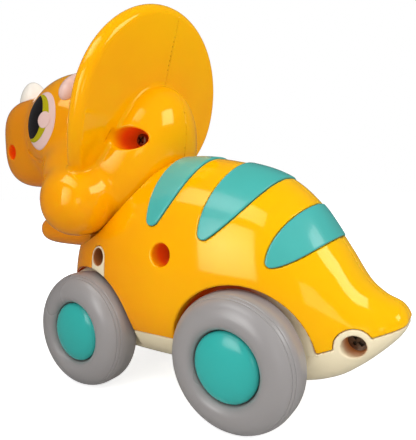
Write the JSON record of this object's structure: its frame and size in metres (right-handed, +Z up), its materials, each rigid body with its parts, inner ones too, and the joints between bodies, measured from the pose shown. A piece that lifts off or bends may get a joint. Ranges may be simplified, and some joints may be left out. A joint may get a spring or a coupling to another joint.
{
  "type": "wheeled triceratops toy",
  "caption": "Press-and-go triceratops toy: pushing the moulded head down turns a toothed lever that drives the rear axle through a ratchet pinion and gears.",
  "frame": {"origin": "on the ground, below the middle of the toy's length and width", "axes": "+X forward to the nose, +Y to the toy's left, +Z up; the axles run along Y"},
  "size_m": [0.15, 0.066, 0.118],
  "materials": {
    "yellow_shell": "glossy moulded, warm yellow that goes orange in the creases",
    "teal_stripe": "glossy moulded inlay",
    "cream_chassis": "satin moulded",
    "ivory_horn": "glossy moulded",
    "pearl_horn": "pearly paint",
    "grey_tyre": "satin, with a parting line round the crown",
    "teal_hub": "glossy moulded",
    "steel": "bright wire and zinc-plated screws",
    "natural_gear_plastic": "natural, uncoloured"
  },
  "bodies": {
    "base": {"body_left": "yellow_shell", "body_right": "yellow_shell", "lower_jaw": "yellow_shell", "stripe_front": "teal_stripe", "stripe_middle": "teal_stripe", "stripe_rear": "teal_stripe", "chassis_left": "cream_chassis", "chassis_right": "cream_chassis", "frame_left": "natural_gear_plastic", "frame_right": "natural_gear_plastic", "pivot_pin": "steel", "gear_shaft": "steel", "return_spring": "steel", "body_screws": "steel", "chassis_screws": "steel", "frame_screws": "steel"},
    "head": {"head_left": "yellow_shell", "head_right": "yellow_shell", "nose_horn": "ivory_horn", "brow_horn_left": "pearl_horn", "brow_horn_right": "pearl_horn", "press_lever": "natural_gear_plastic", "head_screws": "steel"},
    "front_wheels": {"front_axle": "steel", "tyre_front_left": "grey_tyre", "tyre_front_right": "grey_tyre", "hub_cap_front_left": "teal_hub", "hub_cap_front_right": "teal_hub"},
    "rear_wheels": {"rear_axle": "steel", "tyre_rear_left": "grey_tyre", "tyre_rear_right": "grey_tyre", "hub_cap_rear_left": "teal_hub", "hub_cap_rear_right": "teal_hub", "axle_gear": "natural_gear_plastic"},
    "pinion": {"ratchet_pinion": "natural_gear_plastic"},
    "clutch": {"clutch_gear": "natural_gear_plastic"}
  },
  "joints": [
    {"name": "head_press", "type": "hinge", "parent": "base", "child": "head", "pos_m": [0.019, 0, 0.059], "axis": [0, 1, 0], "range_deg": [0, 10], "stiffness_Nm_per_rad": 1.2, "springref_deg": -6.88, "deforming": ["return_spring"]},
    {"name": "front_spin", "type": "hinge", "parent": "base", "child": "front_wheels", "pos_m": [0.0161, 0, 0.0179], "axis": [0, 1, 0], "continuous": true},
    {"name": "rear_spin", "type": "hinge", "parent": "base", "child": "rear_wheels", "pos_m": [-0.0376, 0, 0.0179], "axis": [0, 1, 0], "continuous": true},
    {"name": "pinion_turn", "type": "hinge", "parent": "base", "child": "pinion", "pos_m": [-0.02212, 0, 0.03624], "axis": [0, 1, 0], "continuous": true},
    {"name": "clutch_turn", "type": "hinge", "parent": "base", "child": "clutch", "pos_m": [-0.02212, 0, 0.03624], "axis": [0, 1, 0], "continuous": true}
  ],
  "couplings": [
    {"joint": "pinion_turn", "follows": "head_press", "ratio": -8.4},
    {"joint": "clutch_turn", "follows": "rear_spin", "ratio": -0.26316}
  ]
}
